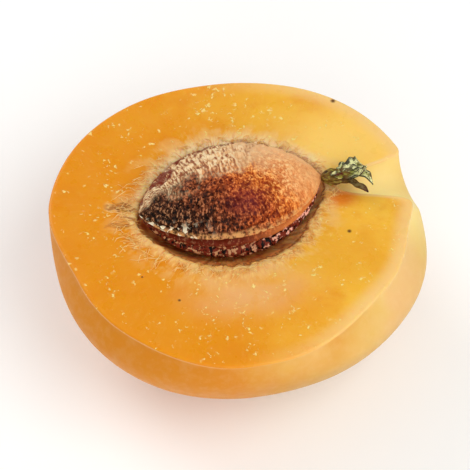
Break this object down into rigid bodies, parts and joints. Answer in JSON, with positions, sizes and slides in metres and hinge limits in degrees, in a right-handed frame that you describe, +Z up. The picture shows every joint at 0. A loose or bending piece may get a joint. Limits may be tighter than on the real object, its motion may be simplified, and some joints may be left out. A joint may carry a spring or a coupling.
{
  "type": "apricot half",
  "caption": "Half of a ripe apricot lying on its rounded back with the cut face up, its stone loose in its bed and the stub of its stem in the hollow.",
  "frame": {"origin": "middle of the small flat spot that the rounded back rests on", "axes": "+Z up, square to the cut face; +X from the tip to the stem end; -Y to the side where the suture groove runs"},
  "size_m": [0.0494, 0.0475, 0.026],
  "materials": {
    "fruit": "satin",
    "stone": "matte",
    "stem": "matte"
  },
  "bodies": {
    "root": {"fruit_half": "fruit", "stone": "stone", "stem": "stem"}
  },
  "joints": []
}
